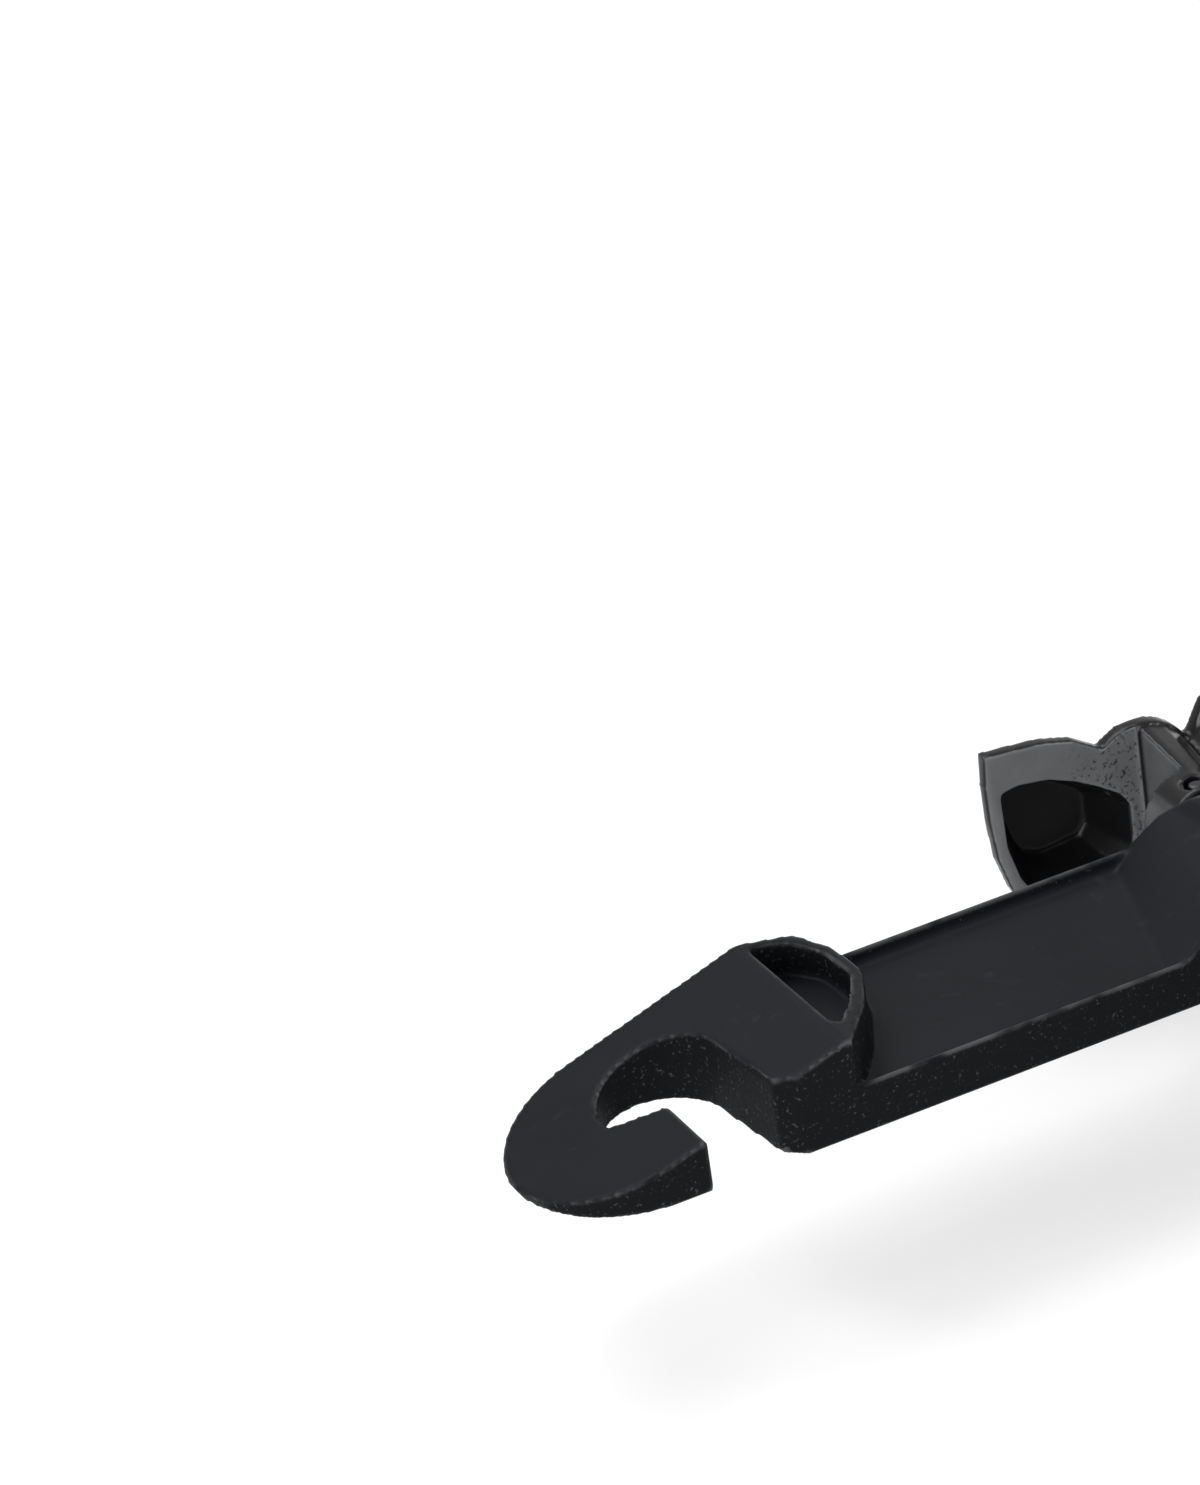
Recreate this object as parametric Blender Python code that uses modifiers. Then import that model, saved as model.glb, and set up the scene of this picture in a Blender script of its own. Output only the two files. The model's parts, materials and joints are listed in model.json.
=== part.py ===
"""Manual can opener: two crossed levers, a turning key and a ring-pull hook at the nose.

The datum is the shank's middle, level with its top rim, where the nose lug begins
to rise. +X runs from the hook to the handles, +Y towards the turning key, +Z up.
An empty moves the datum so that the world origin is under the middle of the part,
on the surface that it rests on. Sizes below are in millimetres.
"""
import math

import bmesh
import bpy
from mathutils import Matrix, Vector

MM = 0.001
GAP = 0.3                   # between pieces that touch
ROUND = 32                  # sides of a round piece

# Nose, lug and shank
BAR_HALF = 8.0              # half the width of the bar that carries the hook
BAR_UNDER = -3.6            # underside of the bar
NOSE_X = -22.5              # middle of the rounded nose
CREASE_X = -9.1             # ridge between the nose ramp and the lug's pocket
RAMP_SLOPE = 0.315          # rise of the nose ramp for each unit along X
RAMP_AT_ZERO = 6.46         # height of the ramp's plane above x = 0
THROAT_X, THROAT_Y = -19.2, 0.3
THROAT_RADIUS = 4.3
RECESS_DEPTH = 0.9
RECESS_HALF = 7.45
RECESS_END_NEAR_X, RECESS_END_FAR_X = 17.7, 22.1

# Head
HEAD_END_X = 35.0
HEAD_TOP = 3.0
HEAD_UNDER = -8.6

# Shafts and pivots, as X and Z
KEY_X, KEY_Z = 28.1, -1.8
GEAR_TEETH = 14
GEAR_MODULE = 1.0
GEAR_SPACING = 14.1
CUTTER_X = 29.0
CUTTER_Z = KEY_Z + math.sqrt(GEAR_SPACING ** 2 - (CUTTER_X - KEY_X) ** 2)
PIVOT_X, PIVOT_Z = 44.0, 4.0
MESH_ANGLE = math.atan2(CUTTER_Z - KEY_Z, CUTTER_X - KEY_X)

SHAFT_RADIUS = 1.9
BUSH_INNER, BUSH_OUTER = 2.05, 2.7
AXLE_RADIUS = 2.0
PIVOT_RADIUS = 2.4
FEED_RADIUS, FEED_TEETH = 6.25, 28
CUTTER_RADIUS = 9.2

# Near side of the head, from the body outwards (Y)
PLATE_Y = (-8.9, -8.3)
GEAR_Y = (-11.6, -9.3)
FEED_Y = (-14.8, -11.9)
CUTTER_Y = (-16.0, -15.1)
FEED_NUT_Y = (-17.0, -15.1)
CUTTER_NUT_Y = (-18.2, -16.3)

# Turning key (Y)
COLLAR_Y = (9.3, 12.6)
COLLAR_RADIUS = 3.3
KEY_Y = (18.4, 19.6)        # the flat hub of the key
KEY_WING_Y = (18.42, 19.57)  # its wings, a hair thinner than the hub
WING_Y = (14.4, 23.0)       # how far its two cups stand out to either side
SCOOP_WALL = 0.7            # floor left under each scoop
CUP_TAPER = 0.62            # closed end of a cup, as a share of its open end
CUP_LAP = 0.6               # how deep a cup starts inside the wing's plate
OVERRUN = 0.5               # how far a scoop's cutter stands out of the plate
HUB_RADIUS = 4.4
NECK_RADIUS = 4.25
NECK_TAPER = 0.76           # the neck at its collar, as a share of its radius at the hub
KEY_PIN_RADIUS = 0.6
KEY_PIN_HALF = 3.1          # half the length of the cross pin
KEY_PIN_Y = 10.5
SHAFT_END_Y = 11.9

# Handles
HANDLE_HALF = 8.5
HANDLE_START_X, HANDLE_END_X = 55.0, 134.0
CAP_END_X = 145.0
UPPER_BOTTOM, UPPER_TOP = 7.0, 17.0
LOWER_BOTTOM, LOWER_TOP = -13.5, -4.2
PAD_THICKNESS = 3.2
REST_Z = LOWER_BOTTOM - GAP - PAD_THICKNESS
HANG_HOLE_RADIUS = 3.4

# The key's scoop towards the nose, and the wall of the cup around it, as X and Z from the hub
SCOOP_RIM = ((11.4, 3.0), (9.9, 3.2), (7.4, 2.8), (5.1, 1.8), (3.3, 0.7), (1.6, -0.5),
             (0.9, -1.6), (0.9, -5.2), (2.2, -6.9), (7.0, -7.3), (9.4, -6.4), (10.5, -4.5),
             (11.3, -1.6))
CUP_RIM = ((11.9, 3.5), (9.9, 3.9), (7.2, 3.5), (4.7, 2.5), (2.8, 1.4), (1.0, 0.1),
           (0.2, -1.6), (0.2, -5.6), (1.6, -7.3), (7.0, -7.8), (9.8, -6.9), (11.0, -4.7),
           (11.8, -1.6))

# Screws that hold the two plates, as X and Z
HEAD_SCREWS = ((22.6, -5.6), (32.4, -5.6))
JAW_SCREWS = ((25.9, 14.6), (36.4, 9.2))
SCREW_RADIUS = 1.1
SCREW_HEAD_RADIUS = 1.9
SCREW_END_Y = -3.2
SCREW_HOLE_END_Y = SCREW_END_Y + 0.8

# World origin, seen from the datum: under the middle of the whole part
NOSE_TIP_X = NOSE_X - BAR_HALF
ORIGIN = ((NOSE_TIP_X + CAP_END_X) / 2, (CUTTER_NUT_Y[0] + WING_Y[1]) / 2, REST_Z)

BLACK_SATIN = ("black_moulding", (0.014, 0.015, 0.017), 0.42, 0.0)
BLACK_GLOSS = ("black_key", (0.018, 0.019, 0.020), 0.25, 0.0)
SOFT_BLACK = ("soft_grip", (0.022, 0.023, 0.025), 0.75, 0.0)
STEEL = ("bright_steel", (0.62, 0.63, 0.64), 0.28, 1.0)
TOOL_STEEL = ("tool_steel", (0.50, 0.51, 0.53), 0.22, 1.0)
BRONZE = ("bronze", (0.55, 0.38, 0.18), 0.35, 1.0)

parts = None
cutters = None
axes = {}


# ---------------------------------------------------------------- scene and placing

def clear_scene():
    for old in list(bpy.data.objects):
        bpy.data.objects.remove(old, do_unlink=True)


def new_collection(name):
    collection = bpy.data.collections.new(name)
    bpy.context.scene.collection.children.link(collection)
    return collection


def add_axis(name, place, parent):
    """An empty on a joint's axis, at a place given from the datum."""
    empty = bpy.data.objects.new(name, None)
    empty.empty_display_size = 0.01
    parts.objects.link(empty)
    empty.location = Vector(place) * MM
    if parent is not None:
        empty.parent = parent
    axes[name] = (empty, Vector(place) * MM)


def principled(name, colour, roughness, metallic):
    material = bpy.data.materials.new(name)
    material.use_nodes = True
    shader = material.node_tree.nodes["Principled BSDF"]
    shader.inputs["Base Color"].default_value = (*colour, 1.0)
    shader.inputs["Roughness"].default_value = roughness
    shader.inputs["Metallic"].default_value = metallic
    material.diffuse_color = (*colour, 1.0)
    return material


def finish(obj, axis, look):
    """Make a shape a part: its collection, material, smooth shading and parent."""
    name, colour, roughness, metallic = look
    cutters.objects.unlink(obj)
    parts.objects.link(obj)
    obj.hide_render = False
    obj.display_type = "TEXTURED"
    obj.data.materials.clear()
    obj.data.materials.append(principled(name + "_" + obj.name, colour, roughness, metallic))
    obj.data.shade_smooth()
    obj.data.set_sharp_from_angle(angle=math.radians(30))
    empty, place = axes[axis]
    obj.parent = empty
    if axis != "datum":
        obj.location = obj.location - place
    return obj


# ---------------------------------------------------------------- shapes

def shape_from_bmesh(name, bm):
    """A shape that is an operand until finish() makes it a part."""
    bmesh.ops.recalc_face_normals(bm, faces=bm.faces)
    mesh = bpy.data.meshes.new(name)
    bm.to_mesh(mesh)
    bm.free()
    obj = bpy.data.objects.new(name, mesh)
    cutters.objects.link(obj)
    obj.hide_render = True
    obj.display_type = "WIRE"
    obj.parent = axes["datum"][0]
    return obj


def cylinder(name, x, z, span, radius, sides=ROUND):
    """A round bar along Y between the two Y values of span."""
    bm = bmesh.new()
    middle = Vector((x, (span[0] + span[1]) / 2, z)) * MM
    turn = Matrix.Translation(middle) @ Matrix.Rotation(-math.pi / 2, 4, "X")
    bmesh.ops.create_cone(bm, cap_ends=True, segments=sides, radius1=radius * MM,
                          radius2=radius * MM, depth=(span[1] - span[0]) * MM, matrix=turn)
    return shape_from_bmesh(name, bm)


def block(name, low, high, tilt=0.0):
    """A box between two corners, tilted about Y through its low corner's edge."""
    bm = bmesh.new()
    size = [b - a for a, b in zip(low, high)]
    middle = Vector([s / 2 for s in size]) * MM
    turn = Matrix.Translation(Vector(low) * MM) @ Matrix.Rotation(tilt, 4, "Y")
    place = turn @ Matrix.Translation(middle) @ Matrix.Diagonal((*size, 1.0))
    bmesh.ops.create_cube(bm, size=MM, matrix=place)
    return shape_from_bmesh(name, bm)


def round_corners(points, steps=5):
    """Replace each (a, b, radius) corner of a closed outline by an arc."""
    outline = []
    count = len(points)
    for index, (a, b, radius) in enumerate(points):
        corner = Vector((a, b))
        before = Vector(points[index - 1][:2]) - corner
        after = Vector(points[(index + 1) % count][:2]) - corner
        if radius <= 0:
            outline.append((a, b))
            continue
        half = before.angle(after) / 2
        reach = min(radius / math.tan(half), 0.49 * before.length, 0.49 * after.length)
        start = corner + before.normalized() * reach
        end = corner + after.normalized() * reach
        for step in range(steps + 1):
            t = step / steps
            point = start * (1 - t) ** 2 + corner * 2 * t * (1 - t) + end * t ** 2
            outline.append((point.x, point.y))
    return outline


def arc(a, b, radius, start, end, steps=12):
    """Points on an arc, with its angles in degrees."""
    sweep = [math.radians(start + (end - start) * i / steps) for i in range(steps + 1)]
    return [(a + radius * math.cos(angle), b + radius * math.sin(angle)) for angle in sweep]


def prism(name, outline, span, plane="side"):
    """A flat outline with thickness. Its plane is "side" (XZ, with span in Y), "plan" (XY, with
    span in Z) or "end" (YZ, with span in X)."""
    curve = bpy.data.curves.new(name + "_outline", "CURVE")
    curve.dimensions = "2D"
    curve.fill_mode = "BOTH"
    curve.extrude = (span[1] - span[0]) / 2 * MM
    spline = curve.splines.new("POLY")
    spline.points.add(len(outline) - 1)
    for point, (a, b) in zip(spline.points, outline):
        point.co = (a * MM, b * MM, 0.0, 1.0)
    spline.use_cyclic_u = True
    holder = bpy.data.objects.new(name + "_outline", curve)
    bpy.context.scene.collection.objects.link(holder)
    middle = (span[0] + span[1]) / 2 * MM
    place = Matrix.Translation((0.0, 0.0, middle))
    if plane == "side":
        place = Matrix.Translation((0.0, middle, 0.0)) @ Matrix.Rotation(math.pi / 2, 4, "X")
    if plane == "end":
        place = Matrix.Translation((middle, 0.0, 0.0)) @ Matrix(
            ((0, 0, 1, 0), (1, 0, 0, 0), (0, 1, 0, 0), (0, 0, 0, 1)))
    graph = bpy.context.evaluated_depsgraph_get()
    mesh = bpy.data.meshes.new_from_object(holder.evaluated_get(graph))
    bpy.data.objects.remove(holder, do_unlink=True)
    bm = bmesh.new()
    bm.from_mesh(mesh)
    bpy.data.meshes.remove(mesh)
    bmesh.ops.remove_doubles(bm, verts=bm.verts, dist=0.00001)
    bmesh.ops.dissolve_limit(bm, angle_limit=0.001, verts=bm.verts, edges=bm.edges)
    bmesh.ops.transform(bm, matrix=place, verts=bm.verts)
    return shape_from_bmesh(name, bm)


def turned(name, x, z, profile, sides=ROUND):
    """A turned piece about a line along Y: a profile of (radius, y) through a Screw modifier."""
    bm = bmesh.new()
    corners = [bm.verts.new((radius * MM, 0.0, y * MM)) for radius, y in profile]
    for first, second in zip(corners, corners[1:]):
        bm.edges.new((first, second))
    if profile[0][0] > 0:
        bm.edges.new((corners[-1], corners[0]))
    mesh = bpy.data.meshes.new(name)
    bm.to_mesh(mesh)
    bm.free()
    holder = bpy.data.objects.new(name + "_profile", mesh)
    bpy.context.scene.collection.objects.link(holder)
    screw = holder.modifiers.new("turn", "SCREW")
    screw.axis = "Z"
    screw.angle = 2 * math.pi
    screw.steps = sides
    screw.render_steps = sides
    screw.use_merge_vertices = True
    screw.merge_threshold = 0.000001
    graph = bpy.context.evaluated_depsgraph_get()
    swept = bpy.data.meshes.new_from_object(holder.evaluated_get(graph))
    bpy.data.objects.remove(holder, do_unlink=True)
    bm = bmesh.new()
    bm.from_mesh(swept)
    bpy.data.meshes.remove(swept)
    turn = Matrix.Translation((x * MM, 0.0, z * MM)) @ Matrix.Rotation(-math.pi / 2, 4, "X")
    bmesh.ops.transform(bm, matrix=turn, verts=bm.verts)
    return shape_from_bmesh(name, bm)


def combine(obj, other, operation):
    boolean = obj.modifiers.new(operation.lower() + "_" + other.name, "BOOLEAN")
    boolean.operation = operation
    boolean.object = other


def cut(obj, *others):
    for other in others:
        combine(obj, other, "DIFFERENCE")


def join(obj, *others):
    for other in others:
        combine(obj, other, "UNION")


def keep_common(obj, other):
    combine(obj, other, "INTERSECT")


def bevel(obj, width, segments=3, angle=40):
    modifier = obj.modifiers.new("rounded_edges", "BEVEL")
    modifier.width = width * MM
    modifier.segments = segments
    modifier.limit_method = "ANGLE"
    modifier.angle_limit = math.radians(angle)


# ---------------------------------------------------------------- nose, lug and shank

def lug_rim(reach, foot=0.0):
    """Plan outline of the lug, from the ridge back to the shank's recess."""
    rim = [(CREASE_X, -8.4, 0), (-5.4, -3.4, 2), (-3.1, 1.2, 4), (-3.3, 5.4, 3), (-5.0, 8.2, 1.5),
           (-5.4, 12.0, 0)]
    front = [(CREASE_X - reach, 12.0, 0), (CREASE_X - reach, -12.0, 0)]
    return round_corners([(x + foot, y, radius) for x, y, radius in rim] + front)


def above_shank():
    """What is cut away above the shank, behind the lug."""
    cutter = block("above_shank", (CREASE_X, -11, 0.0), (30, 11, 9))
    cut(cutter, prism("lug_room", lug_rim(4), (-1, 10), "plan"))
    return cutter


def recess():
    """The shallow recess along the shank, which ends on a slant under the head's rise."""
    edge = RECESS_HALF
    outline = [(-14, -edge), (RECESS_END_NEAR_X, -edge), (RECESS_END_FAR_X, edge), (-14, edge)]
    cutter = prism("recess", outline, (-RECESS_DEPTH, 3.0), "plan")
    bevel(cutter, 0.6, 3)
    cut(cutter, prism("lug_foot", lug_rim(8, 0.15), (-2, 4), "plan"))
    return cutter


def throat():
    """The throat of the hook, open to the near side, that takes a ring pull."""
    outline = [(-12.6, -9.5), (-12.9, -8.0), (-14.2, -6.8)]
    outline += arc(THROAT_X, THROAT_Y, THROAT_RADIUS, 0, 180, 16)
    outline += [(-23.6, -0.4), (-20.2, -2.15), (-19.85, -2.6), (-19.8, -9.5)]
    return prism("throat", outline, (-6, 8), "plan")


def pocket():
    """The hollow of the lug, which leaves a thin rim behind the ridge."""
    hollow = round_corners([(-8.6, -5.7, 0.6), (-6.1, -2.5, 2), (-4.0, 1.3, 3),
                            (-4.3, 4.8, 2), (-5.8, 7.0, 1.2), (-8.7, 7.2, 0.8)])
    cutter = prism("pocket", hollow, (0.5, 6.5), "plan")
    bevel(cutter, 1.3, 4)
    return cutter


def bar():
    """Nose, lug and shank: one bar, cut from above to its ramp, ridge and recess."""
    side = BAR_HALF
    outline = [(24, -side), (24, side)] + arc(NOSE_X, 0.0, side, 90, 270, 20)
    solid = prism("main_body", outline, (BAR_UNDER, 4.4), "plan")
    ramp_start = NOSE_TIP_X - 4
    low = (ramp_start, -12, RAMP_AT_ZERO + RAMP_SLOPE * ramp_start)
    above_ramp = block("above_ramp", low, (ramp_start + 40, 12, 18), -math.atan(RAMP_SLOPE))
    ridge = (CREASE_X, -11.5, RAMP_AT_ZERO + RAMP_SLOPE * CREASE_X)
    above_lug = block("above_lug", ridge, (8, 11.5, 12), math.atan2(1.1, 5.8))
    cut(solid, above_ramp, above_lug, above_shank(), recess(), pocket(), throat())
    return solid


# ---------------------------------------------------------------- head and levers

def slant_front(solid):
    """Slant the head's rise in plan, so that it follows the slanted end of the recess."""
    slope = (RECESS_END_FAR_X - RECESS_END_NEAR_X) / (2 * RECESS_HALF)
    rise_end_x = 23.9 * MM
    foot_z = -3.25 * MM
    bm = bmesh.new()
    bm.from_mesh(solid.data)
    for vertex in bm.verts:
        if vertex.co.x < rise_end_x and vertex.co.z > foot_z:
            vertex.co.x += slope * vertex.co.y
    bmesh.ops.triangulate(bm, faces=bm.faces)
    bm.to_mesh(solid.data)
    bm.free()


def head():
    """The block that holds the key shaft, with a rounded top that rises from the shank."""
    profile = round_corners([(17.2, -3.2, 0), (17.2, -1.0, 0), (21.4, 1.9, 2.5),
                             (26.0, HEAD_TOP, 4), (HEAD_END_X, HEAD_TOP, 0.8),
                             (HEAD_END_X, HEAD_UNDER, 1.5), (24.5, HEAD_UNDER, 4),
                             (20.0, -3.4, 2)])
    solid = prism("head_solid", profile, (-BAR_HALF, BAR_HALF))
    slant_front(solid)
    side = BAR_HALF - 0.01
    section = round_corners([(-side, -12, 0), (side, -12, 0), (side, HEAD_TOP, 2.8),
                             (-side, HEAD_TOP, 2.8)], 6)
    keep_common(solid, prism("head_section", section, (10, 40), "end"))
    return solid


def handle_outline(bottom, top, swell_bottom, swell_top):
    """Side outline of a handle core, whose edges swell by a half sine along its length."""
    start, end = HANDLE_START_X, HANDLE_END_X
    steps = 12
    along = [start + (end - start) * i / steps for i in range(steps + 1)]
    wave = [math.sin(math.pi * i / steps) for i in range(steps + 1)]
    lower_edge = [(x, bottom + swell_bottom * w) for x, w in zip(along, wave)]
    upper_edge = [(x, top + swell_top * w) for x, w in zip(along, wave)]
    return lower_edge + upper_edge[::-1]


def main_body():
    """Hook, lug, shank, head and upper handle core: one moulding."""
    body = bar()
    join(body, head())
    lap = round_corners([(31, -7.4, 0), (40, -5.4, 3), (49, -4.0, 5), (54, 3.5, 4),
                         (60, 8.6, 0), (60, 15.5, 0), (51, 14.0, 6), (42, 12.6, 6),
                         (35.5, 7.5, 4), (33.5, 2.4, 0), (31, 2.4, 0)])
    lap_plate = prism("body_lap", lap, (GAP / 2 + 0.1, BAR_HALF - 0.02))
    bevel(lap_plate, 0.8, 2)
    core = prism("upper_core", handle_outline(UPPER_BOTTOM, UPPER_TOP, 1.4, 1.0),
                 (-HANDLE_HALF, HANDLE_HALF))
    bevel(core, 2.2, 3, 60)
    join(body, lap_plate, core)
    cut(body, cylinder("key_bore", KEY_X, KEY_Z, (-12, 12), BUSH_OUTER + GAP),
        cylinder("pivot_bore_far", PIVOT_X, PIVOT_Z, (-1, 12), PIVOT_RADIUS + GAP))
    for x, z in HEAD_SCREWS:
        cut(body, cylinder("head_screw_hole", x, z, (-9, SCREW_HOLE_END_Y), SCREW_RADIUS + GAP, 16))
    return finish(body, "datum", BLACK_SATIN)


def lower_handle():
    """Cutter jaw, lap plate and lower handle core: the second lever."""
    jaw = round_corners([(24.4, 7.6, 3), (24.2, 16.8, 4.5), (33.6, 17.4, 5), (44, 12.2, 8),
                         (52, 5.4, 7), (60, -5.2, 0), (60, -12.4, 0), (50, -11.4, 9),
                         (40.6, -4.6, 6), (36.4, 4.2, 3), (31, 6.6, 6)])
    lever = prism("lower_handle", jaw, (-BAR_HALF, -GAP / 2 - 0.1))
    bevel(lever, 0.8, 2)
    core = prism("lower_core", handle_outline(LOWER_BOTTOM, LOWER_TOP, 0.0, -1.4),
                 (-HANDLE_HALF, HANDLE_HALF))
    bevel(core, 2.2, 3, 60)
    join(lever, core)
    cut(lever, cylinder("axle_bore", CUTTER_X, CUTTER_Z, (-12, 2), AXLE_RADIUS + GAP),
        cylinder("pivot_bore_near", PIVOT_X, PIVOT_Z, (-12, 2), PIVOT_RADIUS + GAP))
    for x, z in JAW_SCREWS:
        cut(lever, cylinder("jaw_screw_hole", x, z, (-9, SCREW_HOLE_END_Y), SCREW_RADIUS + GAP, 16))
    return finish(lever, "pivot", BLACK_SATIN)


def grip_pad(name, axis, bottom, top, swell_bottom, swell_top):
    """A soft pad along the outer side of a handle core."""
    pad = prism(name, handle_outline(bottom, top, swell_bottom, swell_top),
                (-HANDLE_HALF - 0.5, HANDLE_HALF + 0.5))
    bevel(pad, 1.3, 3, 60)
    return finish(pad, axis, SOFT_BLACK)


def end_cap(name, axis, bottom, top, eye_z=None):
    """The end piece of a handle. The upper one has an eye to hang the tool by."""
    middle = (bottom + top) / 2
    depth = (top - bottom) / 2
    start = HANDLE_END_X + GAP
    outline = [(start, bottom), (CAP_END_X - depth, bottom)]
    outline += arc(CAP_END_X - depth, middle, depth, -80, 80, 10)
    outline += [(CAP_END_X - depth, top), (start, top)]
    cap = prism(name, outline, (-HANDLE_HALF - 0.2, HANDLE_HALF + 0.2))
    bevel(cap, 1.4, 3, 60)
    if eye_z is not None:
        cut(cap, cylinder("hang_eye", HANDLE_END_X + 5.2, eye_z, (-12, 12), HANG_HOLE_RADIUS))
    return finish(cap, axis, BLACK_SATIN)


# ---------------------------------------------------------------- turning key

def from_hub(outline):
    """Place an outline given from the middle of the key's hub."""
    return [(KEY_X + x, KEY_Z + z) for x, z in outline]


def centre(outline):
    """The mean of an outline's points."""
    count = len(outline)
    return sum(x for x, z in outline) / count, sum(z for x, z in outline) / count


def cup(name, outline, near, far, share, middle):
    """A solid between an outline at Y = near and its copy at Y = far, shrunk about a middle."""
    middle_x, middle_z = middle
    bm = bmesh.new()
    for y, scale in ((near, 1.0), (far, share)):
        corners = [(middle_x + (x - middle_x) * scale, y, middle_z + (z - middle_z) * scale)
                   for x, z in outline]
        bm.faces.new([bm.verts.new(Vector(corner) * MM) for corner in corners])
    bmesh.ops.bridge_loops(bm, edges=list(bm.edges))
    bmesh.ops.triangulate(bm, faces=bm.faces)
    return shape_from_bmesh(name, bm)


def nose_side_wing():
    """The wing towards the nose, scooped from the near side into a cup that stands out behind."""
    rim = [(0, 3.0), (2.8, 3.41), (5.0, 4.85), (7.4, 5.55), (10.0, 5.85), (12.05, 6.06),
           (12.25, 3.6), (12.2, 0.7), (11.85, -2.4), (11.1, -4.9), (10.0, -7.2), (7.0, -8.1),
           (3.6, -8.0), (1.0, -7.4), (0, -6.6)]
    rim = [(-x, z) for x, z in rim]
    wing = prism("nose_side_wing", from_hub(rim), KEY_WING_Y)
    scoop = from_hub([(-x, z) for x, z in SCOOP_RIM])
    wall = from_hub([(-x, z) for x, z in CUP_RIM])
    join(wing, cup("nose_side_cup", wall, KEY_Y[0] + CUP_LAP, WING_Y[1], CUP_TAPER, centre(wall)))
    return wing, cup("nose_side_scoop", scoop, KEY_Y[0] - OVERRUN, WING_Y[1] - SCOOP_WALL,
                     CUP_TAPER, centre(scoop))


def handle_side_wing():
    """The wing towards the handles, scooped from the far side into a cup on the near side."""
    rim = [(0, 3.6), (4.2, 2.0), (5.5, 4.2), (8.0, 5.4), (12.05, 6.06), (12.25, 3.6), (12.2, 0.7),
           (11.85, -2.4), (11.1, -4.9), (10.0, -6.0), (7.0, -5.6), (3.6, -4.4), (0, -3.6)]
    wing = prism("handle_side_wing", from_hub(rim), KEY_WING_Y)
    wall = from_hub([(4.6, 2.6), (8.0, 4.6), (11.4, 5.1), (11.5, 0.6), (10.6, -4.4),
                     (7.0, -4.9), (3.4, -3.6), (1.2, -2.4), (2.0, 0.4)])
    scoop = from_hub([(5.2, 2.2), (8.2, 3.9), (10.7, 4.3), (10.8, 0.4), (10.0, -3.9),
                      (7.0, -4.2), (5.0, -3.4), (4.7, -1.2), (4.7, 0.8)])
    join(wing, cup("handle_side_cup", wall, KEY_Y[1] - CUP_LAP, WING_Y[0], CUP_TAPER, centre(wall)))
    return wing, cup("handle_side_scoop", scoop, KEY_Y[1] + OVERRUN, WING_Y[0] + SCOOP_WALL,
                     CUP_TAPER, centre(scoop))


def turning_key():
    """Two thumb wings on a hub, with a half-round neck down to a collar on the shaft."""
    near, far = KEY_Y
    key = cylinder("turning_key", KEY_X, KEY_Z, KEY_Y, HUB_RADIUS, sides=48)
    neck = [(0, -NECK_RADIUS), (0, NECK_RADIUS)] + arc(0, 0, NECK_RADIUS, 80, -80, 8)
    collar_near, collar_far = COLLAR_Y
    nose_wing, nose_scoop = nose_side_wing()
    handle_wing, handle_scoop = handle_side_wing()
    join(key, nose_wing, handle_wing,
         cup("key_neck", from_hub(neck), (near + far) / 2, collar_far - 1, NECK_TAPER,
             (KEY_X, KEY_Z)),
         cylinder("key_collar", KEY_X, KEY_Z, COLLAR_Y, COLLAR_RADIUS))
    socket_end = SHAFT_END_Y + GAP
    cut(key, nose_scoop, handle_scoop,
        cylinder("shaft_socket", KEY_X, KEY_Z, (collar_near - 2, socket_end), SHAFT_RADIUS + GAP),
        upright("key_pin_hole", KEY_PIN_RADIUS + GAP, COLLAR_RADIUS + 1, 16))
    return finish(key, "key", BLACK_GLOSS)


def upright(name, radius, half_length, sides):
    """A round bar along Z through the key's axis, at the cross pin's place."""
    bm = bmesh.new()
    place = Matrix.Translation(Vector((KEY_X, KEY_PIN_Y, KEY_Z)) * MM)
    bmesh.ops.create_cone(bm, cap_ends=True, segments=sides, radius1=radius * MM,
                          radius2=radius * MM, depth=2 * half_length * MM, matrix=place)
    return shape_from_bmesh(name, bm)


def key_pin():
    """The cross pin that drives the shaft from the key's collar."""
    return finish(upright("key_pin", KEY_PIN_RADIUS, KEY_PIN_HALF, 16), "key", STEEL)


# ---------------------------------------------------------------- drive and cutter

def gear_outline(x, z, teeth, module, first_angle):
    """An involute spur gear's outline, with a tooth centred on first_angle."""
    pitch = teeth * module / 2
    base = pitch * math.cos(math.radians(20))
    tip = pitch + 0.86 * module
    root = pitch - 1.3 * module
    slack = math.radians(0.7)

    def involute(radius):
        pressure = math.acos(min(1.0, base / radius))
        return math.tan(pressure) - pressure

    def half_tooth(radius):
        return math.pi / (2 * teeth) - slack + involute(pitch) - involute(max(radius, base))

    radii = [root, base, pitch, (pitch + tip) / 2, tip]
    outline = []
    for tooth in range(teeth):
        middle = first_angle + 2 * math.pi * tooth / teeth
        flank = [(r, middle - half_tooth(r)) for r in radii]
        flank += [(r, middle + half_tooth(r)) for r in reversed(radii)]
        outline += [(x + r * math.cos(a), z + r * math.sin(a)) for r, a in flank]
    return outline


def gear(name, x, z, axis, first_angle, bore):
    wheel = prism(name, gear_outline(x, z, GEAR_TEETH, GEAR_MODULE, first_angle), GEAR_Y)
    cut(wheel, cylinder(name + "_bore", x, z, (-14, -7), bore))
    return finish(wheel, axis, STEEL)


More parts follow.
